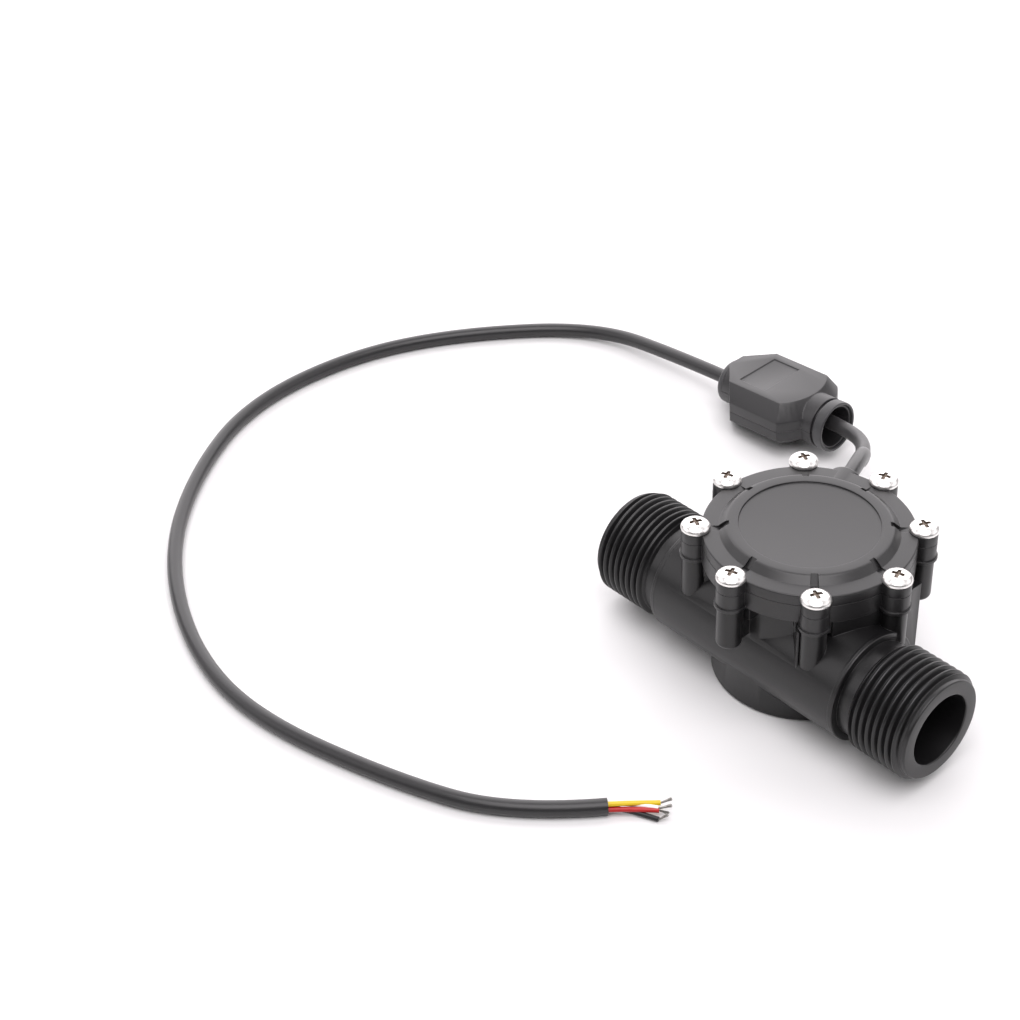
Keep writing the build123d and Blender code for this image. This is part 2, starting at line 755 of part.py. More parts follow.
with BuildPart() as tail_sleeve:
    with BuildSketch(converter_station(-tail_reach - tail_sleeve_length)):
        Circle(tail_sleeve_dia / 2)
    extrude(amount=tail_sleeve_length)
    sleeve_rims = tail_sleeve.edges().filter_by(GeomType.CIRCLE)
    outer_end = sleeve_rims.sort_by(Axis(converter_point, converter_plane.x_dir))[0]
    fillet(outer_end, tail_round)
    with BuildSketch(converter_station(-tail_reach - tail_sleeve_length)):
        Circle(cable_dia / 2 + grommet_fit)
    extrude(amount=tail_sleeve_length, mode=Mode.SUBTRACT)
tail_sleeve.part.label = "tail_sleeve"
export_step(tail_sleeve.part, "parts/tail_sleeve.step")

with BuildPart() as converter_board:
    with BuildSketch(converter_plane.offset(-cavity_below)):
        Rectangle(cavity_length - 2 * converter_board_gap, cavity_width - 2 * converter_board_gap)
    extrude(amount=converter_board_thickness)
converter_board.part.label = "converter_board"
export_step(converter_board.part, "parts/converter_board.step")

with BuildPart() as converter_chip:
    with BuildSketch(converter_plane.offset(converter_board_thickness - cavity_below)):
        Rectangle(converter_chip_length, converter_chip_width)
    extrude(amount=converter_chip_height)
converter_chip.part.label = "converter_chip"
export_step(converter_chip.part, "parts/converter_chip.step")

# Four cores spread from the jacket's end, each with its bare strands
tip = Vector(*cable_points[-1])
along = (tip - Vector(*cable_points[-2])).normalized()
side = along.cross(Vector(0, 0, 1))
for colour, (sideways, upwards, core_end, strand_end) in core_ends.items():
    start = tip + side * (core_offset * sideways) + Vector(0, 0, core_offset * upwards)
    knee = start + along * core_straight
    core_points = [tuple(start), tuple(knee), core_end]
    with BuildPart() as core:
        with BuildLine() as core_path:
            FilletPolyline(*core_points, radius=cord_radii(core_points))
        core_wire = core_path.wires()[0]
        with BuildSketch(Plane(origin=core_points[0], z_dir=core_wire % 0)):
            Circle(core_dia / 2)
        sweep(path=core_wire)
    core.part.label = f"core_{colour}"
    export_step(core.part, f"parts/core_{colour}.step")
    with BuildPart() as strands:
        with BuildSketch(Plane(origin=core_end, z_dir=core_wire % 1)):
            Circle(strand_dia / 2)
        extrude(amount=(Vector(*strand_end) - Vector(*core_end)).length)
    strands.part.label = f"strands_{colour}"
    export_step(strands.part, f"parts/strands_{colour}.step")
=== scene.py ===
"""The looks of a water flow sensor: threaded pipe, screwed cover, inline converter and cable.

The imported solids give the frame, and each class below makes and dresses one sub-assembly on them.
The classes state the sensor's sizes in millimetres, which MM turns into metres. The finishes, the
camera, the lamps and the cords' routes are in metres.
"""

import logging
import math
from contextlib import contextmanager
from dataclasses import dataclass, field
from enum import Enum
from typing import Callable, Iterator, Sequence

import bmesh
import bpy
from mathutils import Matrix, Vector


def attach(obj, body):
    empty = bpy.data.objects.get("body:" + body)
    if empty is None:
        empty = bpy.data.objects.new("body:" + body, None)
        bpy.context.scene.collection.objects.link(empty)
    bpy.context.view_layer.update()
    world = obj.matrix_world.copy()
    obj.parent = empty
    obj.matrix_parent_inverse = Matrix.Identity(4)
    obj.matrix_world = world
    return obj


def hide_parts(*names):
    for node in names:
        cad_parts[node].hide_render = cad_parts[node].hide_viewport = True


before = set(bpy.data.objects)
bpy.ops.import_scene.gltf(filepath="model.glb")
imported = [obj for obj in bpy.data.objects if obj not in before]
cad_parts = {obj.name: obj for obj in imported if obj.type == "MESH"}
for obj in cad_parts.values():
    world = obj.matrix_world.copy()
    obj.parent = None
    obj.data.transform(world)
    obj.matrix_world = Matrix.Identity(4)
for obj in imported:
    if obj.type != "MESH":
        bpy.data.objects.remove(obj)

log = logging.getLogger("flow_sensor")
MM = 0.001
TURN = 2 * math.pi
ROOT = "root"
COUNT = 8  # ears, slots, screws and blades
Profile = list[tuple[float, float]]
Spot = tuple[float, float, float]
Piece = bpy.types.Object
Material = bpy.types.Material
Socket = bpy.types.NodeSocket
Sockets = dict[str | int, object]


class Join(Enum):
    """How one closed shape acts on another."""

    ADD = "UNION"
    CUT = "DIFFERENCE"
    KEEP = "INTERSECT"


class End(Enum):
    """An end of the pipe, by the way that it points along X."""

    INLET = -1
    OUTLET = 1


class Wire:
    """A number that flows between a finish's nodes and takes Python's arithmetic."""

    def __init__(self, recipe: "Recipe", socket: Socket) -> None:
        """Wraps an output socket.

        Args:
            recipe: the finish whose nodes the socket belongs to.
            socket: the output socket.
        """
        self.recipe = recipe
        self.socket = socket

    def _with(self, operation: str, first: "Wire | float", second: "Wire | float") -> "Wire":
        """Adds a Math node on two numbers and returns what it gives."""
        made = self.recipe.node("ShaderNodeMath", {"operation": operation}, {0: first, 1: second})
        return Wire(self.recipe, made.outputs[0])

    def __add__(self, other: "Wire | float") -> "Wire":
        """This number plus another."""
        return self._with("ADD", self, other)

    def __radd__(self, other: float) -> "Wire":
        """A plain number plus this one."""
        return self._with("ADD", other, self)

    def __mul__(self, other: "Wire | float") -> "Wire":
        """This number times another."""
        return self._with("MULTIPLY", self, other)

    def __pow__(self, other: "Wire | float") -> "Wire":
        """This number to a power."""
        return self._with("POWER", self, other)


class Recipe:
    """One material under construction, with the only method that adds nodes to it."""

    def __init__(self, name: str) -> None:
        """Starts an empty material.

        Args:
            name: the finish's name in plain words.
        """
        self.material = bpy.data.materials.new(name)
        self.material.use_nodes = True
        self.tree = self.material.node_tree
        self.tree.nodes.clear()

    def node(
        self, kind: str, settings: dict[str, object] | None = None, sockets: Sockets | None = None
    ) -> bpy.types.Node:
        """Adds a node, sets it up and then fills or links its inputs.

        Args:
            kind: the node's type.
            settings: its properties.
            sockets: a value, a Wire or an output socket for each input, by name or number.

        Returns:
            The new node.
        """
        made = self.tree.nodes.new(kind)
        for key, value in (settings or {}).items():
            setattr(made, key, value)
        for key, value in (sockets or {}).items():
            socket = made.inputs[key]
            if isinstance(value, Wire):
                self.tree.links.new(value.socket, socket)
            elif isinstance(value, Socket):
                self.tree.links.new(value, socket)
            else:
                socket.default_value = value
        return made

    def place(self) -> Socket:
        """The piece's own coordinates, in metres."""
        return self.node("ShaderNodeTexCoord").outputs["Object"]

    def grain(self, size: float, detail: float = 3.0, rough: float = 0.55) -> Wire:
        """Soft noise between 0 and 1.

        Args:
            size: how large a speck is, in metres.
            detail: how many finer layers it has.
            rough: how strong the finer layers are.

        Returns:
            The noise as a number.
        """
        sockets = {"Vector": self.place(), "Scale": 1 / size, "Detail": detail, "Roughness": rough}
        made = self.node("ShaderNodeTexNoise", {"noise_dimensions": "3D"}, sockets)
        return Wire(self, made.outputs["Fac"])

    def blend(self, share: Wire, first: Sequence[float], second: Sequence[float]) -> Socket:
        """Mixes two colours.

        Args:
            share: 0 gives the first colour and 1 the second.
            first: a colour of three numbers.
            second: a colour of three numbers.

        Returns:
            The mixed colour's socket.
        """
        sockets = {0: share, 6: (*first, 1.0), 7: (*second, 1.0)}
        settings = {"data_type": "RGBA", "clamp_factor": True}
        return self.node("ShaderNodeMix", settings, sockets).outputs[2]

    def relief(self, height: Wire, depth: float, strength: float, edge: float = 0.0) -> Socket:
        """A normal that follows a height, and that rounds the sharp edges if asked.

        Args:
            height: the height, between 0 and 1.
            depth: how deep 0 to 1 is, in metres.
            strength: how much of it shows.
            edge: radius of the rounding along edges, in metres.

        Returns:
            The normal's socket.
        """
        sockets: Sockets = {"Height": height, "Distance": depth, "Strength": strength}
        if edge:
            bevel = self.node("ShaderNodeBevel", {"samples": 6}, {"Radius": edge})
            sockets["Normal"] = bevel.outputs[0]
        return self.node("ShaderNodeBump", {}, sockets).outputs[0]

    def finish(self, sockets: Sockets) -> Material:
        """Adds the surface shader and the output.

        Args:
            sockets: the shader's inputs.

        Returns:
            The finished material.
        """
        shader = self.node("ShaderNodeBsdfPrincipled", {}, sockets)
        self.node("ShaderNodeOutputMaterial", {}, {"Surface": shader.outputs[0]})
        return self.material


class Finish:
    """A surface finish. Each kind says what feeds the surface shader."""

    name: str

    def inputs(self, recipe: Recipe) -> Sockets:
        """What feeds the shader, with its nodes made in the recipe."""
        raise NotImplementedError

    def material(self) -> Material:
        """The finish as a new material."""
        recipe = Recipe(self.name)
        return recipe.finish(self.inputs(recipe))

    def shades(self, darker: float, lighter: float) -> tuple[Spot, Spot]:
        """The finish's colour times two numbers."""
        return tuple(tuple(c * factor for c in self.colour) for factor in (darker, lighter))


@dataclass(frozen=True)
class MouldedPlastic(Finish):
    """Plastic from a mould with a fine eroded texture, a soft sheen and faint shading."""

    name: str
    colour: Spot
    roughness: float = 0.42
    speck: float = 0.00035
    depth: float = 0.000018
    edge: float = 0.00025
    shading: float = 0.16
    specular: float = 0.5
    cloud: float = 0.018

    def inputs(self, recipe: Recipe) -> Sockets:
        """What feeds the shader, with its nodes made in the recipe."""
        cloud = recipe.grain(self.cloud, 4.0)
        speck = recipe.grain(self.speck, 2.0, 0.6)
        shades = self.shades(1 - self.shading, 1 + self.shading)
        return {
            "Base Color": recipe.blend(cloud * 0.7 + speck * 0.3, *shades),
            "Roughness": self.roughness - 0.06 + cloud * 0.08 + speck * 0.05,
            "Specular IOR Level": self.specular,
            "Normal": recipe.relief(speck, self.depth, 0.5, self.edge),
        }


@dataclass(frozen=True)
class SoftRubber(Finish):
    """Dark rubber or cable jacket: smooth, with faint drag marks and a waxy sheen."""

    name: str
    colour: Spot
    roughness: float = 0.4
    sheen: float = 0.15
    wave: float = 0.0022
    speck: float = 0.0004
    depth: float = 0.00003

    def inputs(self, recipe: Recipe) -> Sockets:
        """What feeds the shader, with its nodes made in the recipe."""
        smear = recipe.grain(self.wave, 3.0)
        speck = recipe.grain(self.speck, 2.0)
        return {
            "Base Color": recipe.blend(smear, *self.shades(0.85, 1.25)),
            "Roughness": self.roughness - 0.05 + smear * 0.1,
            "Sheen Weight": self.sheen,
            "Sheen Roughness": 0.5,
            "Normal": recipe.relief(smear * 0.6 + speck * 0.4, self.depth, 0.35),
        }


@dataclass(frozen=True)
class BareMetal(Finish):
    """Plated, ground or tinned metal with fine scratches and a faint tarnish."""

    name: str
    colour: Spot
    tarnish: Spot
    roughness: float = 0.2
    scratch: float = 0.0005
    depth: float = 0.000004
    stain: float = 0.0016

    def inputs(self, recipe: Recipe) -> Sockets:
        """What feeds the shader, with its nodes made in the recipe."""
        stain = recipe.grain(self.stain, 3.0)
        scratch = recipe.grain(self.scratch, 4.0, 0.7)
        return {
            "Base Color": recipe.blend(stain**2.5, self.colour, self.tarnish),
            "Metallic": 1.0,
            "Roughness": self.roughness - 0.05 + stain * 0.12 + scratch * 0.06,
            "Normal": recipe.relief(scratch, self.depth, 0.5),
        }


@dataclass(frozen=True)
class CircuitBoard(Finish):
    """Solder mask with tracks under it."""

    name: str
    mask: Spot
    track: Spot
    tracks: float = 420.0
    cloud: float = 0.004
    roughness: float = 0.28
    depth: float = 0.00004

    def inputs(self, recipe: Recipe) -> Sockets:
        """What feeds the shader, with its nodes made in the recipe."""
        sockets = {"Vector": recipe.place(), "Scale": self.tracks, "Mortar Size": 0.06}
        cells = recipe.node("ShaderNodeTexBrick", {"offset": 0.5}, sockets)
        lines = Wire(recipe, cells.outputs["Fac"])
        cloud = recipe.grain(self.cloud)
        return {
            "Base Color": recipe.blend(lines * 0.8 + cloud * 0.15, self.mask, self.track),
            "Roughness": self.roughness + cloud * 0.1,
            "Normal": recipe.relief(lines, self.depth, 0.5),
        }


HOUSING_PLASTIC = MouldedPlastic(
    "charcoal_housing_plastic", (0.007, 0.0068, 0.0073), 0.33, specular=0.48
)
COVER_PLASTIC = MouldedPlastic(
    "charcoal_cover_plastic", (0.009, 0.0086, 0.0094), 0.38, depth=0.000022, specular=0.62
)
CONVERTER_PLASTIC = MouldedPlastic(
    "converter_plastic", (0.018, 0.0174, 0.0188), 0.4, edge=0.0005, specular=0.62
)
SLEEVE_RUBBER = SoftRubber("sleeve_rubber", (0.03, 0.03, 0.032), 0.42)
SEAL_RUBBER = SoftRubber("seal_rubber", (0.015, 0.015, 0.016), 0.5)
JACKET = SoftRubber("cable_jacket", (0.016, 0.0155, 0.0165), 0.36, 0.1)
NICKEL = BareMetal("bright_nickel", (0.9, 0.885, 0.87), (0.8, 0.77, 0.74), 0.27, depth=0.000001)
# Darker brownish metal for the screws' cross recess: painted shade where the recess lies in shadow.
RECESS_SHADE_METAL = BareMetal("recess_painted_shade", (0.24, 0.2, 0.17), (0.14, 0.11, 0.09), 0.45)
AXLE_STEEL = BareMetal("ground_steel", (0.62, 0.62, 0.61), (0.5, 0.5, 0.5), 0.25)
BUSH_BRASS = BareMetal("turned_brass", (0.78, 0.6, 0.32), (0.6, 0.42, 0.2), 0.28)
FERRITE = BareMetal("dark_ferrite", (0.09, 0.09, 0.095), (0.05, 0.05, 0.05), 0.55)
TIN = BareMetal("tinned_copper", (0.42, 0.41, 0.39), (0.3, 0.27, 0.24), 0.34)
ACETAL = MouldedPlastic("white_acetal", (0.78, 0.78, 0.75), 0.35, shading=0.04, edge=0.0)
BOARD = CircuitBoard("green_board", (0.01, 0.12, 0.05), (0.05, 0.22, 0.09))
PACKAGE = MouldedPlastic("chip_package", (0.02, 0.02, 0.021), 0.4, edge=0.0)
CORE_LOOKS = {
    "yellow": ((0.7, 0.49, 0.008), 0.34, 0.06),
    "white": ((0.84, 0.83, 0.82), 0.34, 0.04),
    "red": ((0.42, 0.008, 0.008), 0.34, 0.06),
    "black": ((0.004, 0.004, 0.005), 0.4, 0.1),
}
CORE_FINISHES = {
    core: MouldedPlastic(f"{core}_insulation", colour, roughness, shading=shading, edge=0.0)
    for core, (colour, roughness, shading) in CORE_LOOKS.items()
}


def select_only(piece: Piece) -> None:
    """Selects one object and nothing else."""
    bpy.ops.object.select_all(action="DESELECT")
    piece.select_set(True)
    bpy.context.view_layer.objects.active = piece


@contextmanager
def editing(piece: Piece) -> Iterator[None]:
    """Edit mode on one object with nothing in it selected."""
    select_only(piece)
    bpy.ops.object.mode_set(mode="EDIT")
    bpy.ops.mesh.select_mode(type="VERT")
    bpy.ops.mesh.select_all(action="DESELECT")
    try:
        yield
    finally:
        bpy.ops.object.mode_set(mode="OBJECT")


def select_mesh() -> None:
    """Selects the whole mesh in edit mode."""
    bpy.ops.mesh.select_all(action="SELECT")


def pick(piece: Piece, test: Callable[[Vector], bool]) -> int:
    """Selects the points of the object in edit mode that pass a test.

    Args:
        piece: the object in edit mode.
        test: takes a point's place and says whether it is wanted.

    Returns:
        How many points are selected.
    """
    bpy.ops.mesh.select_all(action="DESELECT")
    mesh = bmesh.from_edit_mesh(piece.data)
    count = 0
    for vert in mesh.verts:
        if test(vert.co):
            vert.select_set(True)
            count += 1
    mesh.select_flush(True)
    bmesh.update_edit_mesh(piece.data)
    return count


def named(piece: Piece, name: str) -> Piece:
    """Gives an object and its mesh a name, and returns the object."""
    piece.name = name
    piece.data.name = name
    return piece


def settle(piece: Piece, matrix: Matrix | None = None) -> Piece:
    """Puts an object's place and turn into its mesh.

    Args:
        piece: the object.
        matrix: where it goes first, if it isn't there yet.

    Returns:
        The same object, at the origin.
    """
    if matrix is not None:
        piece.matrix_world = matrix
    select_only(piece)
    bpy.ops.object.transform_apply(location=True, rotation=True, scale=True)
    return piece


def polar(radius: float, angle: float, height: float = 0.0) -> Vector:
    """A spot by its radius and height in millimetres and its angle in radians."""
    spot = Vector((math.cos(angle), math.sin(angle), 0)) * radius * MM
    spot.z = height * MM
    return spot


def about_z(angle: float) -> Matrix:
    """A turn about Z, in radians."""
    return Matrix.Rotation(angle, 4, "Z")


def box(name: str, size: Sequence[float], centre: Sequence[float] = (0, 0, 0)) -> Piece:
    """A closed box, to be shaped further.

    Args:
        name: the object's name.
        size: its three sides, in millimetres.
        centre: its middle, in millimetres.

    Returns:
        The new object.
    """
    bpy.ops.mesh.primitive_cube_add(size=1, location=(0, 0, 0))
    piece = named(bpy.context.object, name)
    piece.scale = Vector(size) * MM
    piece.location = Vector(centre) * MM
    return settle(piece)


def extrude(step: Sequence[float]) -> None:
    """Extrudes what is selected in edit mode, in metres."""
    bpy.ops.mesh.extrude_region_move(TRANSFORM_OT_translate={"value": step})


def weld(threshold: float = 1e-6) -> None:
    """Merges the doubles of the mesh in edit mode and turns its faces outward."""
    select_mesh()
    bpy.ops.mesh.remove_doubles(threshold=threshold)
    bpy.ops.mesh.normals_make_consistent(inside=False)


def wire_curve(
    name: str, points: Sequence[Sequence[float]], radius: float, roundness: int, steps: int
) -> Piece:
    """A smooth round wire as a NURBS curve with closed ends.

    Args:
        name: the object's name.
        points: its control points, in metres.
        radius: its radius, in metres.
        roundness: how finely its section is divided.
        steps: how finely its length is divided between points.

    Returns:
        The new curve object.
    """
    data = bpy.data.curves.new(name, "CURVE")
    data.dimensions = "3D"
    data.bevel_depth = radius
    data.bevel_resolution = roundness
    data.resolution_u = steps
    data.use_fill_caps = True
    line = data.splines.new("NURBS")
    line.points.add(len(points) - 1)
    for point, spot in zip(line.points, points):
        point.co = (*spot, 1.0)
    line.order_u = 3
    line.use_endpoint_u = True
    piece = bpy.data.objects.new(name, data)
    bpy.context.scene.collection.objects.link(piece)
    return piece


def use_modifier(piece: Piece, kind: str, **settings: object) -> None:
    """Adds a modifier, sets it up and applies it."""
    select_only(piece)
    modifier = piece.modifiers.new("step", kind)
    for key, value in settings.items():
        setattr(modifier, key, value)
    bpy.ops.object.modifier_apply(modifier=modifier.name)


def combine(body: Piece, tool: Piece, how: Join) -> None:
    """Joins, cuts or crops one closed shape with another, which is used up."""
    use_modifier(body, "BOOLEAN", operation=how.value, object=tool, solver="EXACT")
    bpy.data.objects.remove(tool)


def smooth(piece: Piece, degrees: float = 32.0) -> None:
    """Shades an object smooth except across edges sharper than an angle."""
    select_only(piece)
    bpy.ops.object.shade_smooth_by_angle(angle=math.radians(degrees))


def own_copy(piece: Piece, name: str) -> Piece:
    """A copy of an object with a mesh of its own."""
    twin = piece.copy()
    twin.data = piece.data.copy()
    bpy.context.scene.collection.objects.link(twin)
    return named(twin, name)


def merged_copy(node: str, name: str) -> Piece:
    """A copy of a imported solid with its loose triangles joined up.

    Args:
        node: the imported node.
        name: the copy's name.

    Returns:
        The new object, free of any body.
    """
    twin = own_copy(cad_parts[node], name)
    for key in [key for key in twin.keys() if key.startswith("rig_")]:
        del twin[key]
    twin.parent = None
    twin.data.materials.clear()
    select_only(twin)
    if twin.data.has_custom_normals:
        bpy.ops.mesh.customdata_custom_splitnormals_clear()
    with editing(twin):
        select_mesh()
        bpy.ops.mesh.remove_doubles(threshold=2e-6)
        bpy.ops.mesh.dissolve_limited(angle_limit=math.radians(0.6))
    return twin


def gather(pieces: Sequence[Piece], name: str) -> Piece:
    """Makes one object of several."""
    select_only(pieces[0])
    for piece in pieces[1:]:
        piece.select_set(True)
    if len(pieces) > 1:
        bpy.ops.object.join()
    return named(pieces[0], name)


def dress(piece: Piece, material: Material, slot: str, body: str = ROOT) -> None:
    """Gives a new piece its material and its body, and logs its slot.

    Args:
        piece: the new piece.
        material: its finish.
        slot: the record's name for that finish.
        body: the body that it moves with.
    """
    if not piece.data.materials:
        piece.data.materials.append(material)
    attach(piece, body)
    log.info("%s: %s, slot %s, on %s", piece.name, piece.type.lower(), slot, body)


def refinish(node: str, material: Material) -> None:
    """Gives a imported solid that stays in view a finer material."""
    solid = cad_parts[node]
    if not solid.material_slots:
        solid.data.materials.append(material)
    for place in solid.material_slots:
        place.link = "OBJECT"
        place.material = material
    log.info("%s: packed solid, finish %s", node, material.name)


def rounded(corners: Sequence[Spot], steps: int = 4) -> Profile:
    """Rounds the corners of an outline.

    Args:
        corners: each corner's two coordinates and the radius of its rounding.
        steps: how many parts a rounding has.

    Returns:
        The outline's points.
    """
    points: Profile = []
    for number, (x, y, radius) in enumerate(corners):
        inner = 0 < number < len(corners) - 1
        if not inner or radius <= 0:
            points.append((x, y))
            continue
        here = Vector((x, y))
        back = Vector(corners[number - 1][:2]) - here
        ahead = Vector(corners[number + 1][:2]) - here
        half = back.angle(ahead) / 2
        reach = min(radius / math.tan(half), 0.49 * back.length, 0.49 * ahead.length)
        first = here + back.normalized() * reach
        last = here + ahead.normalized() * reach
        for step in range(steps + 1):
            share = step / steps
            spot = (1 - share) ** 2 * first + 2 * share * (1 - share) * here + share**2 * last
            points.append((spot.x, spot.y))
    return points


def chain(name: str, points: Profile) -> Piece:
    """Draws an outline by extruding one point along it, X away from the axis and Z along it.

    Args:
        name: the object's name.
        points: distance from the axis and place along it, in metres.

    Returns:
        An object of edges.
    """
    bpy.ops.mesh.primitive_plane_add(size=0.001, location=(0, 0, 0))
    piece = named(bpy.context.object, name)
    with editing(piece):
        select_mesh()
        bpy.ops.mesh.merge(type="CENTER")
        bpy.ops.transform.translate(value=(points[0][0], 0, points[0][1]))
        for before, after in zip(points, points[1:]):
            extrude((after[0] - before[0], 0, after[1] - before[1]))
    return piece


def turned(name: str, points: Profile, steps: int = 96) -> Piece:
    """Spins an outline round the Z axis into a closed shape.

    Args:
        name: the object's name.
        points: distance from the axis and height, from pole to pole or as a closed ring.
        steps: how many parts a turn has.

    Returns:
        The new object, its axis on Z.
    """
    piece = chain(name, points)
    with editing(piece):
        select_mesh()
        bpy.ops.mesh.spin(steps=steps, angle=TURN, center=(0, 0, 0), axis=(0, 0, 1))
        weld()
    return piece


def ring(name: str, corners: Sequence[Spot], steps: int = 96) -> Piece:
    """Spins a closed outline with rounded corners, given in millimetres."""
    outline = rounded([(x * MM, z * MM, r * MM) for x, z, r in corners])
    return turned(name, outline, steps)


def along_x(end: End, centre: Vector) -> Matrix:
    """The place of a shape turned about Z that lies along X instead.

    Args:
        end: which way its Z points.
        centre: a point of its new axis.

    Returns:
        A turn and a move, with no mirror.
    """
    out = Vector((end.value, 0, 0))
    up = Vector((0, 0, 1))
    return Matrix.Translation(centre) @ Matrix((up, out.cross(up), out)).transposed().to_4x4()


@dataclass
class Studio:
    """The camera, the pale floor and the soft light."""

    eye: Spot = (0.3211, -0.3873, 0.4314)
    ahead: Spot = (-0.6065, 0.5219, -0.5998)
    right: Spot = (0.6679, 0.7437, -0.0282)
    focal_pixels: float = 2223.2
    frame_pixels: float = 1020.0
    sensor: float = 36.0
    floor_size: float = 9.0
    sky_strength: float = 0.16
    lamp_colour: Spot = (1.0, 0.965, 0.985)
    lamps: tuple[tuple[str, Spot, tuple[float, float], float], ...] = (
        ("overhead", (0.32, -0.3, 1.25), (1.2, 1.2), 18.0),
        ("behind", (-1.12, 0.98, 1.0), (3.4, 2.3), 60.0),
        ("left", (-0.95, -1.1, 0.9), (1.6, 1.2), 8.0),
        ("right", (1.0, 1.05, 0.9), (1.6, 1.2), 7.0),
    )

    def build(self) -> None:
        """Makes the camera, the floor, the sky and the lamps."""
        self.place_camera()
        self.lay_floor()
        self.light_sky()
        for name, spot, size, power in self.lamps:
            self.hang_lamp(name, spot, size, power)

    def place_camera(self) -> None:
        """Sets the camera where the photograph was taken from."""
        data = bpy.data.cameras.new("photo_camera")
        data.sensor_fit = "HORIZONTAL"
        data.sensor_width = self.sensor
        data.lens = self.focal_pixels / self.frame_pixels * self.sensor
        data.clip_start = 0.01
        data.clip_end = 50.0
        camera = bpy.data.objects.new("photo_camera", data)
        bpy.context.scene.collection.objects.link(camera)
        ahead = Vector(self.ahead).normalized()
        right = Vector(self.right).normalized()
        axes = Matrix((right, right.cross(ahead), -ahead)).transposed()
        camera.matrix_world = Matrix.Translation(Vector(self.eye)) @ axes.to_4x4()
        bpy.context.scene.camera = camera

    def lay_floor(self) -> None:
        """Lays the white floor."""
        bpy.ops.mesh.primitive_plane_add(size=self.floor_size, location=(0, 0, 0))
        floor = named(bpy.context.object, "floor")
        recipe = Recipe("white_floor")
        cloud = recipe.grain(0.4)
        colour = recipe.blend(cloud, (0.75, 0.75, 0.75), (0.77, 0.77, 0.77))
        sockets = {"Base Color": colour, "Roughness": 0.7, "Specular IOR Level": 0.2}
        floor.data.materials.append(recipe.finish(sockets))

    def light_sky(self) -> None:
        """Fills the room with plain white light."""
        world = bpy.data.worlds.new("studio_room")
        world.use_nodes = True
        sky = world.node_tree.nodes["Background"]
        sky.inputs["Color"].default_value = (1.0, 1.0, 1.0, 1.0)
        sky.inputs["Strength"].default_value = self.sky_strength
        bpy.context.scene.world = world
        bpy.context.scene.view_settings.view_transform = "Standard"

    def hang_lamp(self, name: str, spot: Spot, size: tuple[float, float], power: float) -> None:
        """Hangs an oblong soft lamp that faces the sensor.

        Args:
            name: the lamp's name.
            spot: where it hangs.
            size: how wide and how high it is.
            power: its power in watts.
        """
        data = bpy.data.lights.new(name, "AREA")
        data.shape = "RECTANGLE"
        data.size, data.size_y = size
        data.energy = power
        data.color = self.lamp_colour
        lamp = bpy.data.objects.new(name, data)
        bpy.context.scene.collection.objects.link(lamp)
        lamp.location = spot
        lamp.rotation_euler = (-Vector(spot)).to_track_quat("-Z", "Y").to_euler()


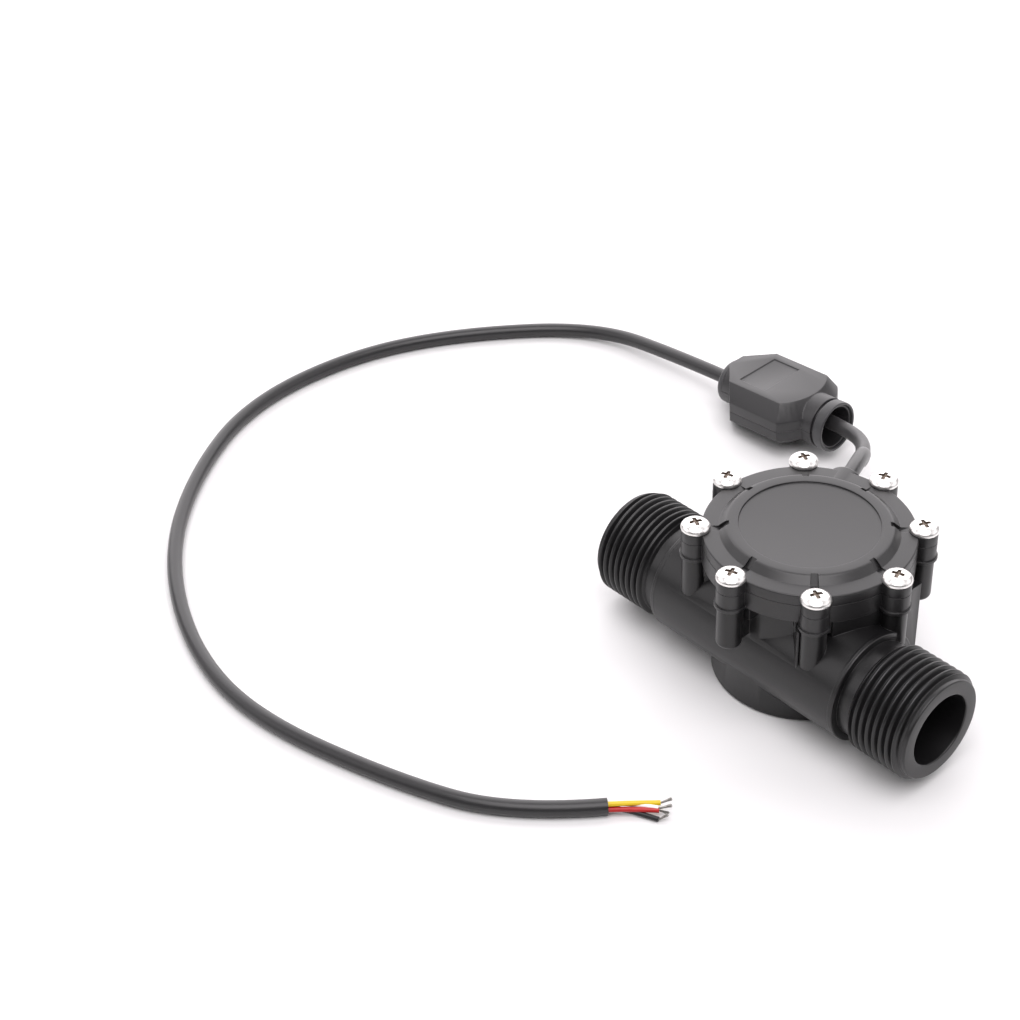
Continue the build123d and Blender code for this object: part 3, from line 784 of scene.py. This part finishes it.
@dataclass
class ThreadedEnd:
    """One end of the pipe: neck, thread, nose, flat face and the start of the bore."""

    end: End
    pipe_axis: Spot = (0.0, -0.011, 0.019)
    cut_at: float = 37.0
    pipe_radius: float = 17.0
    shoulder_at: float = 35.1
    shoulder_round: float = 0.45
    neck_radius: float = 14.7
    thread_from: float = 39.2
    thread_to: float = 58.1
    crest: float = 16.6245
    root: float = 15.146
    pitch: float = 2.309
    face_at: float = 59.4
    nose_radius: float = 15.2
    bore_radius: float = 10.85
    steps: int = 96

    def tooth(self) -> Profile:
        """One pitch of the thread's outline, with a rounded crest and root, in metres."""
        depth = self.crest - self.root
        shares = (0.0, 0.04, 0.1, 0.2, 0.28, 0.35, 0.42, 0.5, 0.58, 0.65, 0.72, 0.8, 0.9, 0.96, 1.0)
        flank = (0.0, 0.03, 0.17, 0.5, 0.75, 0.89, 0.97)
        shape = zip(shares, (*flank, 1.0, *reversed(flank)))
        return [((self.root + depth * rise) * MM, self.pitch * share * MM) for share, rise in shape]

    def build(self) -> Piece:
        """Models the end about the Z axis, then lays it along X.

        Returns:
            The finished end, ready to be joined to the housing.
        """
        piece = chain(f"thread_{self.end.name.lower()}", self.tooth())
        turns = math.ceil((self.thread_to - self.thread_from) / self.pitch) + 2
        spread = {"steps": self.steps, "render_steps": self.steps, "iterations": turns}
        use_modifier(piece, "SCREW", axis="Z", angle=TURN, screw_offset=self.pitch * MM, **spread)
        with editing(piece):
            select_mesh()
            bpy.ops.mesh.remove_doubles(threshold=2e-6)
            select_mesh()
            bpy.ops.transform.translate(value=(0, 0, (self.thread_from - 1.4 * self.pitch) * MM))
            self.trim(self.thread_from, False)
            self.trim(self.thread_to, True)
        self.run_out(piece)
        self.cap(piece)
        with editing(piece):
            weld()
        piece = gather([piece, self.shoulder()], piece.name)
        return settle(piece, along_x(self.end, Vector(self.pipe_axis)))

    def shoulder(self) -> Piece:
        """The crisp rounded edge of the pipe's shoulder, over the moulding's plain chamfer."""
        inner = self.neck_radius + 0.2
        outer = self.pipe_radius + 0.02
        back = self.shoulder_at - 1.5
        return ring(
            "shoulder_edge",
            [
                (inner, back, 0),
                (self.pipe_radius - 0.03, back, 0),
                (outer, back + 0.3, 0),
                (outer, self.shoulder_at + 0.02, self.shoulder_round),
                (inner, self.shoulder_at + 0.02, 0),
                (inner, back, 0),
            ],
        )

    def trim(self, height: float, above: bool) -> None:
        """Cuts the thread off square at a height, above or below it."""
        select_mesh()
        bpy.ops.mesh.bisect(
            plane_co=(0, 0, height * MM),
            plane_no=(0, 0, 1),
            use_fill=False,
            clear_outer=above,
            clear_inner=not above,
            threshold=1e-7,
        )

    def run_out(self, piece: Piece) -> None:
        """Lets the thread fade into the neck and into the nose's chamfer."""
        for vert in piece.data.vertices:
            radius = math.hypot(vert.co.x, vert.co.y)
            low = self.neck_radius * MM + (vert.co.z - self.thread_from * MM) * 1.3
            high = self.nose_radius * MM + (self.thread_to * MM - vert.co.z) * 1.5
            wanted = min(radius, low, high)
            if abs(vert.co.z - self.thread_to * MM) < 1e-6:
                wanted = self.nose_radius * MM
            vert.co.x *= wanted / radius
            vert.co.y *= wanted / radius

    def cap(self, piece: Piece) -> None:
        """Extrudes the rims into the neck, the nose, the face and the bore."""
        nose = rounded(
            [
                (self.nose_radius, self.thread_to, 0),
                (self.nose_radius, self.face_at, 0.45),
                (self.bore_radius, self.face_at, 0.5),
                (self.bore_radius, self.cut_at, 0),
            ]
        )[1:]
        with editing(piece):
            self.follow(piece, self.thread_to, nose)
            self.follow(piece, self.thread_from, [(self.neck_radius, self.cut_at)])

    def follow(self, piece: Piece, rim: float, path: Profile) -> None:
        """Extrudes the rim at a height along a path of radii and heights, in millimetres."""
        pick(piece, lambda co: abs(co.z - rim * MM) < 1e-6)
        for radius, height in path:
            extrude((0, 0, 0))
            mesh = bmesh.from_edit_mesh(piece.data)
            for vert in mesh.verts:
                if vert.select:
                    scale = radius * MM / math.hypot(vert.co.x, vert.co.y)
                    vert.co = Vector((vert.co.x * scale, vert.co.y * scale, height * MM))
            bmesh.update_edit_mesh(piece.data)


@dataclass
class Housing:
    """The moulding that holds the chamber, the pipe and the screw posts."""

    finish: MouldedPlastic = HOUSING_PLASTIC
    ends: tuple[ThreadedEnd, ...] = field(default_factory=lambda: tuple(map(ThreadedEnd, End)))

    def build(self) -> None:
        """Models the housing and dresses it."""
        body = merged_copy("housing", "housing_body")
        cut_at = self.ends[0].cut_at * MM
        with editing(body):
            for side in (-1, 1):
                select_mesh()
                bpy.ops.mesh.bisect(
                    plane_co=(side * cut_at, 0, 0),
                    plane_no=(side, 0, 0),
                    use_fill=False,
                    clear_outer=True,
                    threshold=1e-7,
                )
        piece = gather([body] + [end.build() for end in self.ends], "housing_moulding")
        smooth(piece)
        dress(piece, self.finish.material(), "housing")
        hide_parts("housing")


@dataclass
class MouldRib:
    """The thin upright rib that stands on the pipe beside the post nearest the outlet."""

    finish: MouldedPlastic = HOUSING_PLASTIC
    post_angle: float = 315.0
    post_radius: float = 32.0
    facing: float = 319.3
    aside: float = 4.2
    width: float = 0.75
    ahead: float = 0.4
    reach: float = 7.0
    low: float = 22.0
    high: float = 38.6
    draft: float = 0.5
    draft_below: float = 30.0
    edge: float = 0.22

    def build(self) -> None:
        """Models the rib and dresses it."""
        size = (self.ahead + self.reach, self.width, self.high - self.low)
        centre = ((self.ahead - self.reach) / 2, -self.aside, (self.high + self.low) / 2)
        piece = box("mould_rib", size, centre)
        with editing(piece):
            pick(piece, lambda co: co.x > 0 and co.z < self.draft_below * MM)
            bpy.ops.transform.translate(value=(self.draft * MM, 0, 0))
        use_modifier(piece, "BEVEL", width=self.edge * MM, segments=3, limit_method="NONE")
        smooth(piece, 40)
        spot = polar(self.post_radius, math.radians(self.post_angle))
        settle(piece, Matrix.Translation(spot) @ about_z(math.radians(self.facing)))
        dress(piece, self.finish.material(), "housing")


@dataclass
class Cover:
    """The lid: rim, raised plateau, sunk disc, ears, slots and the hood over the cable."""

    finish: MouldedPlastic = COVER_PLASTIC
    base: float = 45.8
    rim_radius: float = 30.4
    rim_top: float = 49.2
    plateau_radius: float = 23.4
    slope: float = 2.2
    plateau_round: float = 1.7
    top: float = 51.2
    disc_radius: float = 20.05
    disc_depth: float = 0.5
    post_radius: float = 32.0
    ear_radius: float = 4.1
    slot_from: float = 22.5
    slot_to: float = 28.0
    slot_width: float = 2.2
    slot_floor: float = 48.5
    slot_depth: float = 0.65
    slot_taper: float = 0.85
    hood_angle: float = 112.5
    hood_radius: float = 5.5
    hood_from: float = 22.0
    hood_reach: float = 32.4
    hood_height: float = 44.0
    cable_radius: float = 3.5
    hole_from: float = 25.0
    hole_to: float = 34.0

    def build(self) -> None:
        """Models the cover and dresses it."""
        body = ring(
            "cover",
            [
                (0, self.base, 0),
                (self.rim_radius, self.base, 0.25),
                (self.rim_radius, self.rim_top, 0.5),
                (self.plateau_radius + self.slope, self.rim_top, 0.3),
                (self.plateau_radius, self.top, self.plateau_round),
                (self.disc_radius, self.top, 0.25),
                (self.disc_radius, self.top - self.disc_depth, 0.15),
                (0, self.top - self.disc_depth, 0),
            ],
            128,
        )
        self.add_hood(body)
        for number in range(COUNT):
            combine(body, self.ear(number), Join.ADD)
        for number in range(COUNT):
            combine(body, self.slot(number), Join.CUT)
        smooth(body, 30)
        dress(body, self.finish.material(), "cover")
        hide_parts("top_cover")

    def ear(self, number: int) -> Piece:
        """One screw ear, a short post with rounded edges."""
        side = [(self.ear_radius, self.base, 0.25), (self.ear_radius, self.rim_top, 0.35)]
        piece = ring(f"ear_{number}", [(0, self.base, 0), *side, (0, self.rim_top, 0)], 40)
        return settle(piece, Matrix.Translation(polar(self.post_radius, TURN / COUNT * number)))

    def slot(self, number: int) -> Piece:
        """The tool for one radial slot, whose floor follows the slope up to the plateau."""
        foot = self.plateau_radius + self.slope - self.slot_depth
        rise = self.top + 1 - self.slot_floor
        size = (self.slot_to - foot, self.slot_width, rise)
        centre = ((foot + self.slot_to) / 2, 0, self.slot_floor + rise / 2)
        piece = box(f"slot_{number}", size, centre)
        near = 0.1
        above = 0.05
        with editing(piece):
            pick(piece, lambda co: co.x > (self.slot_to - near) * MM and co.z < self.top * MM)
            bpy.ops.transform.translate(value=(0, 0, (self.rim_top + above - self.slot_floor) * MM))
            pick(piece, lambda co: co.x < (foot + near) * MM)
            extrude(((self.slot_from - foot) * MM, 0, 0))
            pick(piece, lambda co: co.x < (self.slot_from + near) * MM)
            bpy.ops.transform.resize(value=(1, self.slot_taper, 1))
            pick(piece, lambda co: co.x < (self.slot_from + near) * MM and co.z < self.top * MM)
            bpy.ops.transform.translate(value=(0, 0, (self.top + above - self.slot_floor) * MM))
        return settle(piece, about_z(TURN / COUNT * number))

    def add_hood(self, body: Piece) -> None:
        """Adds the soft hood where the cable comes out, and bores its hole."""
        angle = math.radians(self.hood_angle)
        out = Vector((math.cos(angle), math.sin(angle), 0))
        side = Vector((-out.y, out.x, 0))
        centre = Vector((0, 0, self.hood_height * MM))
        turn = Matrix((side, out.cross(side), out)).transposed().to_4x4()
        lay = Matrix.Translation(centre) @ turn
        wall = [(self.hood_radius, self.hood_from, 0), (self.hood_radius, self.hood_reach, 0.9)]
        outline = [(0, self.hood_from, 0), *wall, (0, self.hood_reach, 0)]
        hood = settle(ring("hood", outline, 64), lay)
        bpy.ops.mesh.primitive_cube_add(size=0.1, location=(0, 0, self.base * MM + 0.05))
        combine(hood, named(bpy.context.object, "above_seam"), Join.KEEP)
        combine(body, hood, Join.ADD)
        wall = [(self.cable_radius, self.hole_from, 0), (self.cable_radius, self.hole_to, 0)]
        outline = [(0, self.hole_from, 0), *wall, (0, self.hole_to, 0)]
        combine(body, settle(ring("hole", outline, 48), lay), Join.CUT)


@dataclass
class Screws:
    """Eight pan head screws with a cross recess."""

    finish: BareMetal = NICKEL
    # The recess finish is painted shade, a darker metal in the cross.
    recess: BareMetal = RECESS_SHADE_METAL
    head_radius: float = 4.3
    head_height: float = 2.45
    edge: float = 0.45
    fullness: float = 2.05
    dome_rings: int = 14
    shank_radius: float = 2.0
    length: float = 18.0
    cross_span: float = 4.4
    cross_width: float = 1.25
    cross_depth: float = 1.0
    cross_round: float = 0.3
    seat: float = 49.2
    post_radius: float = 32.0
    turns: tuple[float, ...] = (20, 65, 110, 155, 200, 245, 290, 335)

    def build(self) -> None:
        """Models one screw, copies it round the cover and dresses the copies."""
        pattern = self.model()
        metal = self.finish.material()
        recess_shade = self.recess.material()
        for number, turn in enumerate(self.turns):
            screw = own_copy(pattern, f"screw_head_{number + 1}")
            spot = polar(self.post_radius, TURN / COUNT * number, self.seat)
            settle(screw, Matrix.Translation(spot) @ about_z(math.radians(turn)))
            screw.data.materials.append(metal)
            screw.data.materials.append(recess_shade)
            dress(screw, metal, "screw")
            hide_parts(f"screw_{number + 1}")
        bpy.data.objects.remove(pattern)

    def model(self) -> Piece:
        """Models a screw on the Z axis, its head's seat at zero.

        Returns:
            The screw, with the recess in its second material slot.
        """
        r = self.head_radius
        h = self.head_height
        angles = [math.pi / 2 * step / self.dome_rings for step in range(self.dome_rings)]
        dome = [(r * math.cos(angle), self.dome_height(math.cos(angle)), 0) for angle in angles]
        body = ring(
            "screw_pattern",
            [
                (0, -self.length, 0),
                (self.shank_radius - 0.5, -self.length, 0),
                (self.shank_radius, -self.length + 0.5, 0),
                (self.shank_radius, 0, 0),
                (r - 0.25, 0, 0),
                (r, 0.2, 0),
                *dome,
                (0, h, 0),
            ],
            64,
        )
        for turn in (0, 90):
            combine(body, self.arm(turn), Join.CUT)
        # Faces inside the cross recess get the darker metal as painted shade.
        for face in body.data.polygons:
            centre = face.center
            apart = math.hypot(centre.x, centre.y) / MM / r
            if apart < 0.6 and self.edge < centre.z / MM < self.dome_height(apart) - 0.05:
                face.material_index = 1
        smooth(body, 35)
        return body

    def dome_height(self, apart: float) -> float:
        """The dome's height at a distance from the middle, given as a share of the radius."""
        share = (1 - apart**self.fullness) ** (1 / self.fullness)
        return self.edge + (self.head_height - self.edge) * share

    def arm(self, degrees: float) -> Piece:
        """The tool for one arm pair of the cross, narrower at its foot and rounded at its ends."""
        piece = box("cross_arm", (self.cross_span, self.cross_width, self.cross_depth * 2))
        with editing(piece):
            pick(piece, lambda co: co.z < 0)
            bpy.ops.transform.resize(value=(0.75, 0.85, 1))
        use_modifier(piece, "BEVEL", width=self.cross_round * MM, segments=3, limit_method="NONE")
        spot = Matrix.Translation((0, 0, self.head_height * MM))
        return settle(piece, spot @ about_z(math.radians(degrees)))


@dataclass
class Converter:
    """The inline converter: two shells, a front sleeve and a domed collar at the tail."""

    finish: MouldedPlastic = CONVERTER_PLASTIC
    rubber: SoftRubber = SLEEVE_RUBBER
    edge: float = 0.7
    centre: Spot = (-0.08593, 0.08496, 0.0102)
    yaw: float = 1.2
    pitch: float = 3.7
    sleeve_from: float = 20.5
    sleeve_to: float = 24.1
    sleeve_radius: float = 8.65
    spigot_radius: float = 7.75
    tail_from: float = -24.1
    tail_to: float = -20.6
    tail_radius: float = 7.6
    cable_radius: float = 2.45

    def lay(self) -> Matrix:
        """The converter's own frame: X along it to the sensor, Z out of its top."""
        across, aside = math.cos(math.radians(self.yaw)), math.sin(math.radians(self.yaw))
        level, rise = math.cos(math.radians(self.pitch)), math.sin(math.radians(self.pitch))
        along = Vector((across * level, aside * level, rise))
        up = Vector((-across * rise, -aside * rise, level))
        turn = Matrix((along, up.cross(along), up)).transposed().to_4x4()
        return Matrix.Translation(Vector(self.centre)) @ turn

    def build(self) -> list[Piece]:
        """Models the converter's outer pieces and dresses them.

        Returns:
            The shells, the sleeve and the collar.
        """
        plastic = self.finish.material()
        shells = [self.shell(node) for node in ("converter_lower", "converter_upper")]
        for piece in shells:
            dress(piece, plastic, "converter")
            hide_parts(piece.name.replace("shell", "converter"))
        rubber = self.rubber.material()
        rings = [
            self.rubber_ring("front_sleeve_ring", self.sleeve()),
            self.rubber_ring("tail_collar", self.collar()),
        ]
        for piece, node in zip(rings, ("front_sleeve", "tail_sleeve")):
            dress(piece, rubber, "sleeve")
            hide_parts(node)
        return shells + rings

    def shell(self, node: str) -> Piece:
        """One half of the body, its edges rounded as the mould leaves them."""
        piece = merged_copy(node, node.replace("converter", "shell"))
        limit = {"limit_method": "ANGLE", "angle_limit": math.radians(24)}
        use_modifier(
            piece, "BEVEL", width=self.edge * MM, segments=3, use_clamp_overlap=True, **limit
        )
        smooth(piece, 40)
        return piece

    def rubber_ring(self, name: str, outline: list[Spot]) -> Piece:
        """A rubber ring round the converter's long axis, from its outline in millimetres."""
        piece = ring(name, outline)
        smooth(piece)
        return settle(piece, self.lay() @ along_x(End.OUTLET, Vector((0, 0, 0))))

    def sleeve(self) -> list[Spot]:
        """The outline of the ring at the mouth."""
        return [
            (self.spigot_radius, self.sleeve_from, 0),
            (self.sleeve_radius, self.sleeve_from, 0.5),
            (self.sleeve_radius, self.sleeve_to, 0.8),
            (self.spigot_radius, self.sleeve_to, 0.3),
            (self.spigot_radius, self.sleeve_from, 0),
        ]

    def collar(self) -> list[Spot]:
        """The outline of the domed collar round the cable at the tail."""
        return [
            (self.cable_radius, self.tail_to, 0),
            (self.cable_radius, self.tail_from, 0),
            (self.tail_radius * 0.55, self.tail_from, 0.6),
            (self.tail_radius, self.tail_from + 1.6, 1.6),
            (self.tail_radius, self.tail_to, 0),
            (self.cable_radius, self.tail_to, 0),
        ]


LEAD_ROUTE = (
    (-0.00995, 0.02402, 0.044),
    (-0.01984, 0.0479, 0.044),
    (-0.03303, 0.06156, 0.0233),
    (-0.0444, 0.07863, 0.0171),
    (-0.05732, 0.0849, 0.01367),
    (-0.07103, 0.08461, 0.01278),
)
CABLE_ROUTE = (
    (-0.10549, 0.08455, 0.00894),
    (-0.13083, 0.08402, 0.0073),
    (-0.172, 0.0823, 0.00245),
    (-0.204, 0.0437, 0.00245),
    (-0.2201, 0.0063, 0.00245),
    (-0.2204, -0.0389, 0.00245),
    (-0.1992, -0.0769, 0.00245),
    (-0.1693, -0.1076, 0.00245),
    (-0.1288, -0.1284, 0.00245),
    (-0.0906, -0.1337, 0.00245),
    (-0.042, -0.1209, 0.00245),
    (-0.0101, -0.1063, 0.00245),
    (0.0061, -0.0849, 0.00245),
)


@dataclass
class Cord:
    """A free round cord along one smooth route, given by its control points in metres."""

    name: str
    node: str
    route: tuple[Spot, ...]
    leaves_at: Spot
    length: float
    far_end: str
    diameter: float = 0.0048

    def build(self, material: Material) -> Piece:
        """Draws the cord and dresses it.

        Args:
            material: its jacket.

        Returns:
            The cord as a curve.
        """
        piece = wire_curve(self.name, self.route, self.diameter / 2, 7, 16)
        dress(piece, material, "jacket")
        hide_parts(self.node)
        return piece

    def declare(self, piece: Piece, fellows: Sequence[Piece]) -> None:
        """Takes the cord and the pieces that lie on it, and does nothing with them."""


@dataclass
class BareEnd:
    """One insulated core at the cable's end, with its fan of bare strands."""

    colour: str
    path: tuple[Spot, ...]
    strand_end: Spot
    radius: float = 0.75
    strand_radius: float = 0.11
    strand_count: int = 7
    fan: float = 0.34

    def build(self, tin: Material) -> list[Piece]:
        """Models the core and its strands and dresses them.

        Args:
            tin: the strands' finish.

        Returns:
            The core and the bundle of strands.
        """
        middle = [Vector(spot) * MM for spot in self.path]
        core = self.tube(f"core_{self.colour}_sleeve", middle, self.radius)
        dress(core, CORE_FINISHES[self.colour].material(), f"core_{self.colour}")
        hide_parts(f"core_{self.colour}")
        strands = [self.strand(number) for number in range(self.strand_count)]
        bundle = gather(strands, f"wires_{self.colour}")
        dress(bundle, tin, "strands")
        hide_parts(f"strands_{self.colour}")
        return [core, bundle]

    def tube(self, name: str, points: list[Vector], radius: float) -> Piece:
        """A smooth round wire through a few control points, as a closed mesh."""
        piece = wire_curve(name, points, radius * MM, 4 if radius > 0.3 else 1, 10)
        select_only(piece)
        bpy.ops.object.convert(target="MESH")
        piece = named(bpy.context.object, name)
        with editing(piece):
            weld(1e-7)
        smooth(piece, 50)
        return piece

    def strand(self, number: int) -> Piece:
        """One thin strand that twists out of the core and bends a little away."""
        start = Vector(self.path[-1]) * MM
        along = (Vector(self.strand_end) * MM - start).normalized()
        length = (Vector(self.strand_end) * MM - start).length
        side = along.cross(Vector((0, 0, 1))).normalized()
        rise = side.cross(along)
        points = []
        for step in range(5):
            share = step / 4
            turn = TURN * (number / max(1, self.strand_count - 1) + 0.22 * share)
            spread = self.fan * share**2 * (0.6 + 0.1 * (number % 4))
            apart = 0.0 if number == 0 else (0.2 + spread) * MM
            reach = length * share * (1 - 0.05 * (number % 3)) - 0.2 * MM
            off_line = (side * math.cos(turn) + rise * math.sin(turn)) * apart
            points.append(start + along * reach + off_line)
        return self.tube(f"strand_{self.colour}_{number}", points, self.strand_radius)


@dataclass
class Cabling:
    """The sensor's lead, the main cable and its four bare ends."""

    jacket: SoftRubber = JACKET
    tin: BareMetal = TIN
    lead: Cord = field(
        default_factory=lambda: Cord(
            "lead_jacket", "sensor_lead", LEAD_ROUTE, (-0.0124, 0.02993, 0.044), 0.1013, "fitting"
        )
    )
    cable: Cord = field(
        default_factory=lambda: Cord(
            "cable_jacket_tube",
            "main_cable",
            CABLE_ROUTE,
            (-0.10989, 0.0845, 0.0087),
            0.4798,
            "bare",
        )
    )
    jacket_end: Spot = (6.1, -84.9, 2.45)
    jacket_way: Spot = (0.6035, 0.7973, 0.0)
    core_offset: float = 1.1
    core_straight: float = 4.0

    def ends(self) -> list[BareEnd]:
        """The four cores, by their turn on the jacket's end, their end and their strands'."""
        facts = {
            "yellow": (75, (15.2, -73.7, 2.7), (16.9, -70.6, 3.5)),
            "white": (165, (16.1, -75.35, 2.4), (18.4, -72.1, 3.0)),
            "black": (255, (18.1, -77.2, 0.85), (19.6, -74.9, 2.3)),
            "red": (345, (16.6, -75.55, 2.1), (18.5, -73.5, 0.8)),
        }
        way = Vector(self.jacket_way)
        side = way.cross(Vector((0, 0, 1)))
        cores = []
        for colour, (turn, core_end, strand_end) in facts.items():
            angle = math.radians(turn)
            start = Vector(self.jacket_end) + side * (self.core_offset * math.cos(angle))
            start.z += self.core_offset * math.sin(angle)
            knee = start + way * self.core_straight
            cores.append(BareEnd(colour, (tuple(start), tuple(knee), core_end), strand_end))
        return cores

    def build(self, on_lead: Sequence[Piece]) -> None:
        """Draws both cords and the bare ends.

        Args:
            on_lead: the converter's pieces, which lie on the lead.
        """
        material = self.jacket.material()
        tin = self.tin.material()
        self.lead.declare(self.lead.build(material), on_lead)
        bare = [piece for end in self.ends() for piece in end.build(tin)]
        self.cable.declare(self.cable.build(material), bare)


@dataclass
class RotorBlades:
    """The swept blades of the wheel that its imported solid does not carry."""

    finish: Finish = ACETAL
    root: float = 5.0
    tip: float = 20.7
    sweep: float = 16.0
    bend: float = 1.6
    thickness: float = 1.6
    low: float = 10.1
    high: float = 27.95
    edge: float = 0.2
    steps: int = 8

    def outline(self) -> Profile:
        """The middle line of a blade, out from the hub and aside, in metres."""
        aside = math.sin(math.radians(self.sweep))
        reach = self.tip * math.cos(math.radians(self.sweep))
        points = []
        for step in range(self.steps + 1):
            share = step / self.steps
            out = self.root + (reach - self.root) * share
            bow = self.tip * aside * share**self.bend
            points.append((out * MM, bow * MM))
        return points

    def build(self) -> None:
        """Models the seven missing blades as one piece on the rotor's body."""
        stand = Matrix.Translation((0, 0, self.low * MM)) @ Matrix.Rotation(-TURN / 4, 4, "X")
        made = []
        for number in range(1, COUNT):
            blade = settle(chain("blade", self.outline()), stand)
            with editing(blade):
                select_mesh()
                extrude((0, 0, (self.high - self.low) * MM))
            use_modifier(blade, "SOLIDIFY", thickness=self.thickness * MM, offset=0)
            with editing(blade):
                select_mesh()
                bpy.ops.mesh.normals_make_consistent(inside=False)
            use_modifier(blade, "BEVEL", width=self.edge * MM, segments=2, limit_method="ANGLE")
            smooth(blade, 40)
            made.append(settle(blade, about_z(TURN * number / COUNT)))
        piece = gather(made, "rotor_blades")
        dress(piece, self.finish.material(), "rotor", "rotor_body")


@dataclass
class InnerWorks:
    """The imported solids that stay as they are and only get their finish."""

    finishes: tuple[tuple[tuple[str, ...], Finish], ...] = (
        (("middle_plate",), COVER_PLASTIC),
        (("chamber_seal", "cover_seal"), SEAL_RUBBER),
        (("rotor", "lower_washer", "upper_washer"), ACETAL),
        (("rotor_magnet",), FERRITE),
        (("rotor_bush",), BUSH_BRASS),
        (("axle",), AXLE_STEEL),
        (("sensor_board", "converter_board"), BOARD),
        (("hall_switch", "converter_chip"), PACKAGE),
        (("cable_grommet",), SLEEVE_RUBBER),
    )

    def build(self) -> None:
        """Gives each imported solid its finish."""
        for nodes, finish in self.finishes:
            material = finish.material()
            for node in nodes:
                refinish(node, material)


def main() -> None:
    """Builds the sensor's looks sub-assembly by sub-assembly."""
    logging.basicConfig(level=logging.INFO, format="%(name)s: %(message)s")
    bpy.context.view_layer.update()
    Studio().build()
    converter = Converter()
    on_lead = converter.build()
    packed = ("converter_board", "converter_chip", "cable_grommet")
    on_lead += [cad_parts[node] for node in packed]
    Cabling().build(on_lead)
    Housing().build()
    MouldRib().build()
    Cover().build()
    Screws().build()
    RotorBlades().build()
    InnerWorks().build()


if __name__ == "__main__":
    main()
